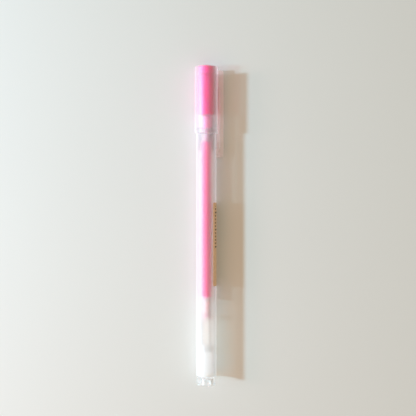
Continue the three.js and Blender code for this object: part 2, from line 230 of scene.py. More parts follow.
def dome(radius: float, edge: float, rise: float, steps: int = 10) -> list[Corner]:
    """Corners from a disc's rim to its middle, along a parabola.

    Args:
        radius: the rim's radius.
        edge: the rim's station.
        rise: how much further the middle is; negative for a hollow.
        steps: how many pieces the curve has.

    Returns:
        The points from the rim to the axis.
    """
    share = 1 - np.arange(steps + 1) / steps
    return [(float(radius * k), float(edge + rise * (1 - k**2))) for k in share]


# ---- Surfaces -------------------------------------------------------------------------------------------


def mesh_object(
    name: str, points: np.ndarray, faces: list[list[int]], crease: float = 32.0
) -> bpy.types.Object:
    """An object at the origin that holds a smooth-shaded mesh.

    Args:
        name: the piece's name.
        points: its points, in metres, one row each.
        faces: the corners of each face, anticlockwise from outside.
        crease: edges that turn by more than this many degrees stay sharp.

    Returns:
        The new object, linked to the scene.
    """
    mesh = bpy.data.meshes.new(name)
    mesh.from_pydata(points.reshape(-1, 3).tolist(), [], faces)
    mesh.validate()
    mesh.shade_smooth()
    mesh.set_sharp_from_angle(angle=math.radians(crease))
    piece = bpy.data.objects.new(name, mesh)
    bpy.context.scene.collection.objects.link(piece)
    return piece


def grid_faces(rows: int, columns: int, wrap_rows: bool, wrap_columns: bool) -> np.ndarray:
    """The quads of a grid of points that is numbered row by row.

    Args:
        rows: how many rows of points there are.
        columns: how many points a row has.
        wrap_rows: True if the last row joins the first.
        wrap_columns: True if a row's last point joins its first.

    Returns:
        Four point numbers a face, turning from the row direction to the column direction.
    """
    i = np.arange(rows if wrap_rows else rows - 1)[:, None]
    j = np.arange(columns if wrap_columns else columns - 1)[None, :]
    down, right = (i + 1) % rows, (j + 1) % columns
    corners = [i * columns + j, down * columns + j, down * columns + right, i * columns + right]
    return np.stack(corners, axis=-1).reshape(-1, 4)


def turned(
    name: str, axis: PenAxis, outline: np.ndarray, closed: bool, segments: int = 96
) -> bpy.types.Object:
    """A surface of revolution about the pen's axis.

    The point at outline row i and angle a is (radius_i cos a, radius_i sin a, station_i). An outline that
    isn't closed starts and ends on the axis, where its first and last rows are one point each.

    Args:
        name: the piece's name.
        axis: the pen's axis.
        outline: rows of (radius, station), anticlockwise.
        closed: True for a ring or tube.
        segments: how many points a circle has.

    Returns:
        The new object.
    """
    angle = np.linspace(0, 2 * np.pi, segments, endpoint=False)
    radius, station = outline[:, :1], outline[:, 1:]
    if closed:
        points = axis.place(radius * np.cos(angle), radius * np.sin(angle), station)
        return mesh_object(name, points, grid_faces(len(outline), segments, True, True).tolist())
    body = axis.place(radius[1:-1] * np.cos(angle), radius[1:-1] * np.sin(angle), station[1:-1])
    ends = axis.place(np.zeros(2), np.zeros(2), station[[0, -1], 0])
    faces = grid_faces(len(outline) - 2, segments, False, True).tolist()
    here = np.arange(segments)
    after = (here + 1) % segments
    last = (len(outline) - 3) * segments
    first_pole, last_pole = (len(outline) - 2) * segments, (len(outline) - 2) * segments + 1
    faces += np.stack([np.full(segments, first_pole), here, after], axis=-1).tolist()
    faces += np.stack([last + here, np.full(segments, last_pole), last + after], axis=-1).tolist()
    return mesh_object(name, np.concatenate([body.reshape(-1, 3), ends]), faces)


# ---- Shader sheets --------------------------------------------------------------------------------------


class Signal:
    """A number socket of a shader that Python expressions work on: each operation adds its Math node."""

    def __init__(self, sheet: Sheet, socket: bpy.types.NodeSocket) -> None:
        """Wraps a socket of that sheet."""
        self.sheet = sheet
        self.socket = socket

    def maths(self, operation: str, *values: float | Signal) -> Signal:
        """A Math node.

        Args:
            operation: the node's operation.
            values: its inputs, in order.

        Returns:
            The node's result.
        """
        node = self.sheet.node("ShaderNodeMath", {"operation": operation}, dict(enumerate(values)))
        return Signal(self.sheet, node.outputs[0])

    def __add__(self, other: float | Signal) -> Signal:
        """self + other."""
        return self.maths("ADD", self, other)

    __radd__ = __add__

    def __sub__(self, other: float | Signal) -> Signal:
        """self - other."""
        return self.maths("SUBTRACT", self, other)

    def __rsub__(self, other: float | Signal) -> Signal:
        """other - self."""
        return self.maths("SUBTRACT", other, self)

    def __mul__(self, other: float | Signal) -> Signal:
        """self * other."""
        return self.maths("MULTIPLY", self, other)

    __rmul__ = __mul__

    def __gt__(self, other: float | Signal) -> Signal:
        """1 where self is above other, and 0 elsewhere."""
        return self.maths("GREATER_THAN", self, other)

    def repeats(self, pitch: float) -> Signal:
        """The distance to the nearest whole multiple of pitch."""
        return self.maths("PINGPONG", self, pitch / 2)

    def ramp(self, low: float, high: float) -> Signal:
        """0 at low and 1 at high, with a smooth step between them. low may be above high."""
        settings = {"interpolation_type": "SMOOTHSTEP", "clamp": True}
        inputs = {"Value": self, "From Min": low, "From Max": high, "To Min": 0.0, "To Max": 1.0}
        if low > high:
            inputs |= {"From Min": high, "From Max": low, "To Min": 1.0, "To Max": 0.0}
        return Signal(self.sheet, self.sheet.node("ShaderNodeMapRange", settings, inputs).outputs[0])


class Sheet:
    """One material's shader nodes."""

    def __init__(self, name: str) -> None:
        """Starts an empty material of that name."""
        self.material = bpy.data.materials.new(name)
        self.material.use_nodes = True
        self.tree = self.material.node_tree
        self.tree.nodes.clear()

    def node(
        self, kind: str, settings: dict[str, Any] | None = None, inputs: dict[Any, Any] | None = None
    ) -> Any:
        """Adds a node.

        Args:
            kind: the node's type.
            settings: its properties, which are set first.
            inputs: values or links for its sockets, by name or number.

        Returns:
            The node.
        """
        made = self.tree.nodes.new(kind)
        for key, value in (settings or {}).items():
            setattr(made, key, value)
        for key, value in (inputs or {}).items():
            self.feed(made.inputs[key], value)
        return made

    def feed(self, socket: bpy.types.NodeSocket, value: Any) -> None:
        """Sets a socket to a number or colour, or links it to a signal or another socket."""
        if isinstance(value, Signal):
            self.tree.links.new(value.socket, socket)
        elif isinstance(value, bpy.types.NodeSocket):
            self.tree.links.new(value, socket)
        elif isinstance(value, tuple) and len(value) == 3 and socket.type == "RGBA":
            socket.default_value = (*value, 1.0)
        else:
            socket.default_value = value

    def position(self) -> bpy.types.NodeSocket:
        """The Object coordinates, which are the model's frame, in metres."""
        return self.node("ShaderNodeTexCoord").outputs["Object"]

    def stretched(self, scale: tuple[float, float, float]) -> bpy.types.NodeSocket:
        """The Object coordinates times a scale on each axis, per metre."""
        settings = {"vector_type": "POINT"}
        node = self.node("ShaderNodeMapping", settings, {"Vector": self.position(), "Scale": scale})
        return node.outputs[0]

    def noise(
        self, scale: float, detail: float = 3.0, stretch: Colour = (1, 1, 1), rough: float = 0.5
    ) -> Signal:
        """Soft noise from 0 to 1.

        Args:
            scale: features per metre, roughly.
            detail: how many finer octaves are added.
            stretch: how much denser the features are along each axis.
            rough: how strong the finer octaves are.

        Returns:
            The noise's value.
        """
        vector = self.stretched(stretch)
        inputs = {"Vector": vector, "Scale": scale, "Detail": detail, "Roughness": rough}
        return Signal(self, self.node("ShaderNodeTexNoise", {}, inputs).outputs[0])

    def along(self, axis: PenAxis) -> Signal:
        """The station along the pen, in mm."""
        split = self.node("ShaderNodeSeparateXYZ", {}, {0: self.position()})
        return (Signal(self, split.outputs["Y"]) - axis.tail) * (1 / MM)

    def blend(self, low: Any, high: Any, share: Signal | float) -> bpy.types.NodeSocket:
        """A colour between low and high by share, from 0 to 1."""
        node = self.node("ShaderNodeMix", {"data_type": "RGBA", "clamp_factor": True})
        self.feed(node.inputs["Factor"], share)
        self.feed([s for s in node.inputs if s.name == "A" and s.type == "RGBA"][0], low)
        self.feed([s for s in node.inputs if s.name == "B" and s.type == "RGBA"][0], high)
        return [s for s in node.outputs if s.type == "RGBA"][0]

    def bump(self, height: Signal, distance: float, strength: float = 1.0) -> bpy.types.NodeSocket:
        """A normal from a height.

        Args:
            height: the surface's height, from 0 to 1.
            distance: what a height of 1 is, in mm.
            strength: how much of it shows.

        Returns:
            The normal.
        """
        inputs = {"Height": height, "Distance": distance * MM, "Strength": strength}
        return self.node("ShaderNodeBump", {}, inputs).outputs[0]

    def principled(self, **inputs: Any) -> bpy.types.Node:
        """A Principled shader. Input names are written with _ for each space."""
        named = {key.replace("_", " "): value for key, value in inputs.items()}
        return self.node("ShaderNodeBsdfPrincipled", {}, named)

    def outward(self, axis: PenAxis) -> Signal:
        """1 where the side that is met faces away from the pen's axis, and 0 where it faces the axis."""
        middle = (axis.x, 0.0, axis.z)
        settings = {"operation": "SUBTRACT"}
        away = self.node("ShaderNodeVectorMath", settings, {0: self.position(), 1: middle}).outputs[0]
        radial = self.node("ShaderNodeVectorMath", {"operation": "MULTIPLY"}, {0: away, 1: (1.0, 0.0, 1.0)})
        normal = self.node("ShaderNodeNewGeometry").outputs["Normal"]
        inputs = {0: normal, 1: radial.outputs[0]}
        dot = self.node("ShaderNodeVectorMath", {"operation": "DOT_PRODUCT"}, inputs)
        return Signal(self, dot.outputs["Value"]) > 0

    def back(self) -> Signal:
        """1 where a surface is met from behind."""
        return Signal(self, self.node("ShaderNodeNewGeometry").outputs["Backfacing"])

    def facing(self, power: float = 0.5) -> Signal:
        """0 where the surface is seen straight on, and up to 1 where it is seen edge on."""
        return Signal(self, self.node("ShaderNodeLayerWeight", {}, {"Blend": power}).outputs["Facing"])

    def mixed(self, low: bpy.types.Node, high: bpy.types.Node, share: Signal | float) -> bpy.types.Node:
        """A Mix Shader between two shaders by share, from 0 to 1."""
        return self.node("ShaderNodeMixShader", {}, {0: share, 1: low.outputs[0], 2: high.outputs[0]})

    def lamplit(self, shader: bpy.types.Node, passing: Colour, share: Signal | float = 1.0) -> bpy.types.Node:
        """The same shader, but with lamps shining through it.

        Args:
            shader: what is seen.
            passing: the share of each colour that a lamp's ray keeps.
            share: how much of the ray is let through at all.

        Returns:
            The shader that does both.
        """
        shadow = Signal(self, self.node("ShaderNodeLightPath").outputs["Is Shadow Ray"])
        clear = self.node("ShaderNodeBsdfTransparent", {}, {"Color": passing})
        return self.mixed(shader, clear, shadow * share)

    def unbent(self, glass: bpy.types.Node, passing: Colour) -> bpy.types.Node:
        """The same glass, but without bending the light that other surfaces gather through it.

        Args:
            glass: what is seen.
            passing: the share of each colour that is gathered.

        Returns:
            The shader that does both.
        """
        gathered = Signal(self, self.node("ShaderNodeLightPath").outputs["Is Diffuse Ray"])
        clear = self.node("ShaderNodeBsdfTransparent", {}, {"Color": passing})
        return self.mixed(glass, clear, gathered)

    def finish(self, shader: bpy.types.Node) -> bpy.types.Material:
        """Ends the sheet with that shader and returns its material."""
        output = self.node("ShaderNodeOutputMaterial")
        self.tree.links.new(shader.outputs[0], output.inputs["Surface"])
        return self.material


# ---- Finishes -------------------------------------------------------------------------------------------


@dataclass(frozen=True)
class FrostedPlastic:
    """Translucent moulded plastic with a spark-eroded skin.

    Rough glass is mixed with milk, which both reflects and lets light through. A line of sight that runs
    along the wall meets more of it, so the milk's share grows as the surface turns edge on. It is larger
    again on the sides that face the pen's axis. Lamps shine through the same way, and the outer skin holds
    some of their light back from what lies outside.

    Attributes:
        name: the material's name.
        axis: the pen's axis.
        tint: the clearer colour.
        cloud: the colour of the denser clouds.
        roughness: how much the glass scatters.
        skin: the milk's roughness.
        grain: the skin's depth, in mm.
        milk: the milk's share where the wall is seen straight on.
        deep_milk: what is added to it on the sides that face the axis.
        edge_milk: what is added to it edge on.
        glow: the share of the milk's light that comes through it from behind.
        skin_glow: the same share on the outer skin, seen straight on.
        passing: the share of each colour that a lamp's ray keeps at one surface.
        edge_block: the share of a lamp's ray that is lost edge on.
        held: the share of a lamp's ray that the outer skin keeps in.
        held_to: the station where edge_block and held end.
        satin: the share of a broad sheen on the outer skin.
        satin_roughness: how broad that sheen is.
    """

    name: str
    axis: PenAxis
    tint: Colour = (0.99, 0.978, 0.968)
    cloud: Colour = (0.97, 0.955, 0.948)
    roughness: float = 0.5
    skin: float = 0.55
    grain: float = 0.004
    milk: float = 0.09
    deep_milk: float = 0.6
    edge_milk: float = 1.2
    glow: float = 0.65
    skin_glow: float = 0.3
    passing: Colour = (0.975, 0.967, 0.957)
    edge_block: float = 0.5
    held: float = 0.7
    held_to: float = 1000.0
    satin: float = 0.05
    satin_roughness: float = 0.62

    def material(self) -> bpy.types.Material:
        """Builds the material."""
        sheet = Sheet(self.name)
        clouds = sheet.noise(260, detail=2, stretch=(1, 0.25, 1))
        specks = sheet.noise(9000, detail=2)
        streaks = sheet.noise(2600, detail=1, stretch=(1, 0.03, 1))
        colour = sheet.blend(self.tint, self.cloud, clouds.ramp(0.35, 0.7))
        normal = sheet.bump(specks * 0.7 + streaks * 0.3, self.grain)
        uneven = (specks - 0.5) * 0.1 + (streaks - 0.5) * 0.06
        facing, outward = sheet.facing(), sheet.outward(self.axis)
        outer_skin = outward * (1 - sheet.back())

        rough = self.roughness + uneven
        glass = {"Color": self.tint, "Roughness": rough, "IOR": PLASTIC_IOR, "Normal": normal}
        clear = sheet.node("ShaderNodeBsdfRefraction", {}, glass)
        white = sheet.principled(
            Base_Color=colour,
            Roughness=self.skin + uneven,
            IOR=PLASTIC_IOR,
            Normal=normal,
        )
        through = sheet.node("ShaderNodeBsdfTranslucent", {}, {"Color": self.tint, "Normal": normal})
        sheen = {"Color": self.tint, "Roughness": self.satin_roughness, "Normal": normal}
        satin = sheet.node("ShaderNodeBsdfAnisotropic", {}, sheen)

        edge = facing * (0.4 + facing * 0.6) * self.edge_milk
        share = self.milk * (0.8 + clouds * 0.4) + edge + (1 - outward) * self.deep_milk
        skin_glow = self.skin_glow + facing * facing * (self.glow - self.skin_glow)
        glow = self.glow + outward * (skin_glow - self.glow)
        body = sheet.mixed(sheet.unbent(clear, self.tint), sheet.mixed(white, through, glow), share)
        body = sheet.mixed(body, satin, outer_skin * self.satin)

        holding = sheet.along(self.axis).ramp(self.held_to + 0.5, self.held_to - 0.5)
        kept = (1 - facing * self.edge_block * holding) * (1 - outer_skin * self.held * holding)
        return sheet.finish(sheet.lamplit(body, self.passing, kept))


@dataclass(frozen=True)
class ClearPlastic:
    """Nearly clear glossy moulded plastic, with a faint flow pattern and a few cloudy patches."""

    name: str
    tint: Colour = (0.98, 0.985, 0.99)
    haze: Colour = (0.95, 0.955, 0.96)
    roughness: float = 0.09
    milk: float = 0.06
    edge_milk: float = 0.25
    edge_block: float = 0.05
    passing: Colour = (0.99, 0.99, 0.99)

    def material(self) -> bpy.types.Material:
        """Builds the material."""
        sheet = Sheet(self.name)
        flow = sheet.noise(420, detail=2, stretch=(1, 0.4, 1))
        patches = sheet.noise(900, detail=3)
        colour = sheet.blend(self.tint, self.haze, flow.ramp(0.3, 0.7))
        normal = sheet.bump(flow, 0.02)
        clear = sheet.principled(
            Base_Color=colour,
            Roughness=self.roughness + patches.ramp(0.45, 0.75) * 0.08,
            IOR=PLASTIC_IOR,
            Transmission_Weight=1.0,
            Normal=normal,
        )
        white = sheet.principled(Base_Color=colour, Roughness=0.3, IOR=PLASTIC_IOR, Normal=normal)
        facing = sheet.facing()
        share = self.milk * (0.7 + patches * 0.6) + facing * self.edge_milk
        body = sheet.mixed(sheet.unbent(clear, self.tint), white, share)
        return sheet.finish(sheet.lamplit(body, self.passing, 1 - facing * self.edge_block))


@dataclass(frozen=True)
class DyedPlastic:
    """Moulded plastic with pigment swirls and fine rub marks, which lets light through in its own colour."""

    name: str
    colour: Colour
    deep: Colour
    roughness: float = 0.32
    depth: float = 3.0
    spread: Colour = (1.0, 0.2, 0.4)
    passing: Colour = (0.5, 0.5, 0.5)

    def material(self) -> bpy.types.Material:
        """Builds the material."""
        sheet = Sheet(self.name)
        swirl = sheet.noise(300, detail=4, stretch=(1, 0.5, 1), rough=0.6)
        rubs = sheet.noise(2500, detail=2, stretch=(1, 0.08, 1))
        colour = sheet.blend(self.colour, self.deep, swirl.ramp(0.35, 0.75))
        normal = sheet.bump(rubs, 0.003)
        solid = sheet.principled(
            Base_Color=colour,
            Roughness=self.roughness + (rubs - 0.5) * 0.12,
            IOR=PLASTIC_IOR,
            Subsurface_Weight=0.9,
            Subsurface_Radius=self.spread,
            Subsurface_Scale=self.depth * MM,
            Normal=normal,
        )
        return sheet.finish(sheet.lamplit(solid, self.passing))


@dataclass(frozen=True)
class GelInk:
    """Dense pink gel that wets its tube, and is paler near its rear end, where it smears."""

    name: str
    axis: PenAxis
    rear: float
    fade: float = 1.6
    colour: Colour = (0.78, 0.11, 0.3)
    deep: Colour = (0.74, 0.09, 0.27)
    pale: Colour = (0.92, 0.6, 0.68)
    depth: float = 3.0
    spread: Colour = (1.0, 0.2, 0.45)

    def material(self) -> bpy.types.Material:
        """Builds the material."""
        sheet = Sheet(self.name)
        swirl = sheet.noise(500, detail=3, stretch=(1, 0.2, 1))
        ragged = sheet.noise(700, detail=2) - 0.5
        smear = (sheet.along(self.axis) + ragged * 1.2).ramp(self.rear + self.fade, self.rear)
        colour = sheet.blend(sheet.blend(self.colour, self.deep, swirl.ramp(0.3, 0.7)), self.pale, smear)
        shader = sheet.principled(
            Base_Color=colour,
            Roughness=0.6 + swirl * 0.15,
            IOR=GEL_IOR,
            Specular_IOR_Level=0.1,
            Subsurface_Weight=0.7,
            Subsurface_Radius=self.spread,
            Subsurface_Scale=self.depth * MM,
            Normal=sheet.bump(swirl, 0.01),
        )
        return sheet.finish(shader)


@dataclass(frozen=True)
class Grease:
    """Pale translucent grease with small streaks in it."""

    name: str
    colour: Colour = (0.72, 0.56, 0.58)
    milk: Colour = (0.67, 0.5, 0.54)
    depth: float = 5.0
    spread: Colour = (1.0, 0.6, 0.6)
    passing: Colour = (0.98, 0.95, 0.95)

    def material(self) -> bpy.types.Material:
        """Builds the material."""
        sheet = Sheet(self.name)
        streaks = sheet.noise(900, detail=3, stretch=(1, 0.3, 1))
        shader = sheet.principled(
            Base_Color=sheet.blend(self.colour, self.milk, streaks.ramp(0.3, 0.7)),
            Roughness=0.6 + streaks * 0.2,
            IOR=GEL_IOR,
            Specular_IOR_Level=0.1,
            Subsurface_Weight=0.8,
            Subsurface_Radius=self.spread,
            Subsurface_Scale=self.depth * MM,
            Normal=sheet.bump(streaks, 0.02),
        )
        return sheet.finish(sheet.lamplit(shader, self.passing))


@dataclass(frozen=True)
class TurnedMetal:
    """Nickel silver with fine lathe rings and faint staining."""

    name: str
    colour: Colour = (0.66, 0.64, 0.6)
    stain: Colour = (0.5, 0.46, 0.42)

    def material(self) -> bpy.types.Material:
        """Builds the material."""
        sheet = Sheet(self.name)
        rings = sheet.noise(1000, detail=1, stretch=(0.5, 40, 0.5))
        patches = sheet.noise(900, detail=4)
        shader = sheet.principled(
            Base_Color=sheet.blend(self.colour, self.stain, patches.ramp(0.5, 0.85)),
            Roughness=0.22 + rings * 0.12 + patches.ramp(0.5, 0.9) * 0.15,
            Metallic=1.0,
            Normal=sheet.bump(rings, 0.003),
        )
        return sheet.finish(shader)


@dataclass(frozen=True)
class PolishedBall:
    """A lapped hard-metal ball with a patchy film of ink."""

    name: str
    colour: Colour = (0.55, 0.55, 0.57)
    film: Colour = (0.6, 0.25, 0.36)

    def material(self) -> bpy.types.Material:
        """Builds the material."""
        sheet = Sheet(self.name)
        film = sheet.noise(3500, detail=2).ramp(0.52, 0.66)
        shader = sheet.principled(
            Base_Color=sheet.blend(self.colour, self.film, film * 0.6),
            Roughness=0.12 + film * 0.25,
            Metallic=1.0,
            Normal=sheet.bump(film, 0.002),
        )
        return sheet.finish(shader)


@dataclass(frozen=True)
class Elastomer:
    """Soft matt rubber with a fine grain and a little dust in it."""

    name: str
    colour: Colour = (0.8, 0.79, 0.78)
    dust: Colour = (0.7, 0.66, 0.66)

    def material(self) -> bpy.types.Material:
        """Builds the material."""
        sheet = Sheet(self.name)
        grain = sheet.noise(6000, detail=3)
        shader = sheet.principled(
            Base_Color=sheet.blend(self.colour, self.dust, grain.ramp(0.4, 0.8)),
            Roughness=0.75 + (grain - 0.5) * 0.2,
            Normal=sheet.bump(grain, 0.01),
        )
        return sheet.finish(shader)


@dataclass(frozen=True)
class KraftPaper:
    """Brown uncoated paper with fibres, and a ruler's ticks and plain bars printed on it.

    The piece's UV map holds millimetres: u across the label from its upper edge, v along it from its tail
    end. Each bar is its u and the v of its two ends.
    """

    name: str
    length: float
    colour: Colour = (0.8, 0.5, 0.3)
    light: Colour = (0.92, 0.62, 0.4)
    print_colour: Colour = (0.06, 0.025, 0.02)
    row_length: float = 20.6
    tick_pitch: float = 1.6
    tick_width: float = 0.75
    tick_length: float = 1.0
    long_tick_length: float = 1.7
    margin: float = 1.3
    bar_width: float = 0.55
    bars: tuple[tuple[float, float, float], ...] = ((4.4, 20.0, 36.0), (6.2, 24.0, 36.0), (8.6, 6.0, 36.0))

    def material(self) -> bpy.types.Material:
        """Builds the material."""
        sheet = Sheet(self.name)
        pulp = sheet.noise(700, detail=5, rough=0.65)
        fibres = sheet.noise(3200, detail=3, stretch=(1, 0.15, 1), rough=0.7)
        colour = sheet.blend(self.colour, self.light, (pulp * 0.6 + fibres * 0.4).ramp(0.35, 0.65))
        colour = sheet.blend(colour, self.print_colour, self.printing(sheet) * (0.85 + pulp * 0.15))
        shader = sheet.principled(
            Base_Color=colour,
            Roughness=0.8 + (fibres - 0.5) * 0.2,
            Sheen_Weight=0.15,
            Normal=sheet.bump(fibres * 0.6 + pulp * 0.4, 0.02),
        )
        return sheet.finish(shader)

    def printing(self, sheet: Sheet) -> Signal:
        """The printed share: a row of ticks, every fifth one long, and three plain bars beside them."""
        uv = sheet.node("ShaderNodeSeparateXYZ", {}, {0: sheet.node("ShaderNodeUVMap").outputs[0]})
        u, v = Signal(sheet, uv.outputs["X"]), Signal(sheet, uv.outputs["Y"])
        first = self.length - self.row_length
        half, soft = self.tick_width / 2, 0.05
        row = (v > first - 0.8) * (1 - (v > self.length - 1.6))
        tick = (v - first).repeats(self.tick_pitch).ramp(half + soft, half - soft)
        long_tick = (v - first).repeats(self.tick_pitch * 5).ramp(half + soft, half - soft)
        reach = self.tick_length + long_tick * (self.long_tick_length - self.tick_length)
        printed = tick * row * (u > self.margin) * (1 - (u > self.margin + reach))
        for low, start, end in self.bars:
            printed += (u > low) * (1 - (u > low + self.bar_width)) * (v > start) * (1 - (v > end))
        return printed


@dataclass(frozen=True)
class Tabletop:
    """A pale painted surface with a very faint mottle."""

    name: str = "tabletop"
    colour: Colour = (0.8, 0.8, 0.78)
    mottle: Colour = (0.79, 0.79, 0.77)

    def material(self) -> bpy.types.Material:
        """Builds the material."""
        sheet = Sheet(self.name)
        mottle = sheet.noise(18, detail=3)
        shader = sheet.principled(
            Base_Color=sheet.blend(self.colour, self.mottle, mottle),
            Roughness=0.65,
            Specular_IOR_Level=0.3,
            Normal=sheet.bump(sheet.noise(1500, detail=2), 0.004),
        )
        return sheet.finish(shader)


class Slot(Enum):
    """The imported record's material slots."""

    FROSTED = "frosted_plastic"
    CLEAR = "clear_plastic"
    NOSE = "nose_plastic"
    TUBE = "milky_tube"
    PINK = "pink_plastic"
    TINTED = "tinted_plastic"
    VALVE = "valve_plastic"
    INK = "gel_ink"
    GREASE = "follower_grease"
    RUBBER = "seal_rubber"
    METAL = "tip_metal"
    BALL = "ball_metal"
    PAPER = "label_paper"


@dataclass
class Assembly:
    """What the pen's sub-assemblies share: the axis, and how a finished piece joins the model."""

    axis: PenAxis
    pieces: list[bpy.types.Object] = field(default_factory=list)

    def span(self, node: str) -> Span:
        """Where that CAD node lies."""
        return Span.of(node, self.axis)

    def add(
        self,
        piece: bpy.types.Object,
        material: bpy.types.Material,
        slot: Slot,
        body: str,
        *nodes: str,
    ) -> bpy.types.Object:
        """Dresses a piece and joins it to the model.

        Args:
            piece: the finished object.
            material: its finish.
            slot: not used.
            body: the CAD body that it rides on.
            nodes: the CAD nodes that it stands for.

        Returns:
            The piece.
        """
        piece.data.materials.append(material)
        if nodes:
            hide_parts(*nodes)
        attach(piece, body)
        self.pieces.append(piece)
        return piece

    def turn(
        self, name: str, corners: Sequence[Corner], closed: bool, segments: int = 96
    ) -> bpy.types.Object:
        """A turned piece from its corners."""
        return turned(name, self.axis, rounded(corners, closed), closed, segments)


# ---- Barrel ---------------------------------------------------------------------------------------------


@dataclass
class BarrelUnit(Assembly):
    """The barrel tube, the plug in its tail and the label round it."""

    wall: float = 0.9
    edge: float = 0.16
    seat_gap: float = 0.1
    refill_bore: float = 2.35
    socket_wall: float = 0.6
    socket_depth: float = 3.2
    spigot_length: float = 8.0
    recess_radius: float = 2.4
    recess_depth: float = 3.0
    vent_radius: float = 0.6
    rib_pitch: float = 1.2
    rib_length: float = 0.5
    rib_count: int = 3
    label_width: float = 12.0
    label_thickness: float = 0.1
    label_lift: float = 0.045
    label_corner: float = 0.7

    def build(self) -> None:
        """Builds and dresses the unit's pieces."""
        self.barrel()
        self.tail_plug()
        self.label()

    def barrel(self) -> None:
        """The tube: an outer wall, an inner wall and two rounded ends."""
        span = self.span("barrel")
        bore = span.radius - self.wall
        corners = [
            (bore, span.start, 0.1),
            (span.radius, span.start, self.edge),
            (span.radius, span.end, self.edge),
            (bore, span.end, 0.1),
        ]
        piece = self.turn("barrel_tube", corners, True, 128)
        finish = FrostedPlastic("frosted_barrel", self.axis)
        self.add(piece, finish.material(), Slot.FROSTED, "barrel", "barrel")

    def tail_plug(self) -> None:
        """The plug: a recessed knob, a ribbed spigot and the sleeve that holds the refill's end."""
        span, barrel = self.span("tail_plug"), self.span("barrel")
        knob, knob_end = span.radius, barrel.start - self.seat_gap
        bore = barrel.radius - self.wall
        spigot, spigot_end = bore - 0.3, knob_end + self.spigot_length
        sleeve, floor = self.refill_bore + self.socket_wall, span.end - self.socket_depth
        first = spigot_end - 1.6 - self.rib_length - (self.rib_count - 1) * self.rib_pitch
        ribs: list[Corner] = []
        for i in range(self.rib_count):
            low = first + i * self.rib_pitch
            ribs += [
                (spigot, low, 0.05),
                (bore - 0.04, low + 0.15, 0.08),
                (bore - 0.04, low + self.rib_length - 0.15, 0.08),
                (spigot, low + self.rib_length, 0.05),
            ]
        corners = [
            (self.vent_radius, span.start + self.recess_depth, 0.1),
            (self.recess_radius - 0.1, span.start + self.recess_depth, 0.3),
            (self.recess_radius, span.start, 0.35),
            (knob, span.start, 1.0),
            (knob, knob_end, 0.3),
            (spigot, knob_end, 0.1),
            *ribs,
            (spigot, spigot_end, 0.25),
            (sleeve, spigot_end, 0.15),
            (sleeve, span.end, 0.15),
            (self.refill_bore, span.end, 0.15),
            (self.refill_bore, floor, 0.2),
            (self.vent_radius, floor, 0.1),
        ]
        piece = self.turn("tail_knob", corners, True)
        self.add(piece, ClearPlastic("clear_tail").material(), Slot.CLEAR, "barrel", "tail_plug")

    def label(self) -> None:
        """The sticker, bent round the barrel.

        A point at w across the sheet lies at angle w / radius from the clip's line. Its place along the pen
        is t times the sheet's half length there, which is shorter near a corner by the corner's arc. The
        front, the back and the four edges are one closed skin: the section's loop runs out along the front
        and home along the back.
        """
        span, barrel = self.span("label"), self.span("barrel")
        half_width, half_length = self.label_width / 2, (span.end - span.start) / 2
        inner = barrel.radius + self.label_lift
        across = np.linspace(-half_width, half_width, 65)
        along = np.concatenate([[-1.0], np.linspace(-1, 1, 97), [1.0]])
        over = np.clip(np.abs(across) - (half_width - self.label_corner), 0, None)
        reach = half_length - (self.label_corner - np.sqrt(np.clip(self.label_corner**2 - over**2, 0, None)))
        loop = np.concatenate([np.arange(65), np.arange(64, -1, -1)])
        front = np.concatenate([np.ones(65), np.zeros(65)])
        radius = inner + self.label_thickness * front
        angle = across[loop] / barrel.radius
        station = span.middle + along[:, None] * reach[loop]
        points = self.axis.place(radius * np.cos(angle), radius * np.sin(angle), station)
        faces = grid_faces(len(along), 130, False, True)
        ends = [
            [row * 130 + j, row * 130 + 129 - j, row * 130 + 128 - j, row * 130 + j + 1][:: 1 if row else -1]
            for row in (0, len(along) - 1)
            for j in range(64)
        ]
        piece = mesh_object("paper_label", points, faces.tolist() + ends, 60)
        self.map_label(piece, inner)
        paper = KraftPaper("kraft_label", span.end - span.start)
        self.add(piece, paper.material(), Slot.PAPER, "barrel", "label")

    def map_label(self, piece: bpy.types.Object, inner: float) -> None:
        """Writes the label's UV map in mm: u from its upper edge round the barrel, v from its tail end.

        Args:
            piece: the label's object.
            inner: the radius that its back lies on.
        """
        span, barrel = self.span("label"), self.span("barrel")
        mesh = piece.data
        points = np.empty(len(mesh.vertices) * 3, np.float32)
        mesh.vertices.foreach_get("co", points)
        points = points.reshape(-1, 3)
        c, s = math.cos(self.axis.roll), math.sin(self.axis.roll)
        x, z = points[:, 0] - self.axis.x, points[:, 2] - self.axis.z
        angle = np.arctan2(s * x + c * z, c * x - s * z)
        u = self.label_width / 2 - angle * barrel.radius
        v = (points[:, 1] - self.axis.tail) / MM - span.start
        corners = np.empty(len(mesh.loops), np.int32)
        mesh.loops.foreach_get("vertex_index", corners)
        layer = mesh.uv_layers.new(name="sheet_mm")
        layer.data.foreach_set("uv", np.stack([u, v], axis=-1)[corners].astype(np.float32).ravel())


# ---- Refill ---------------------------------------------------------------------------------------------


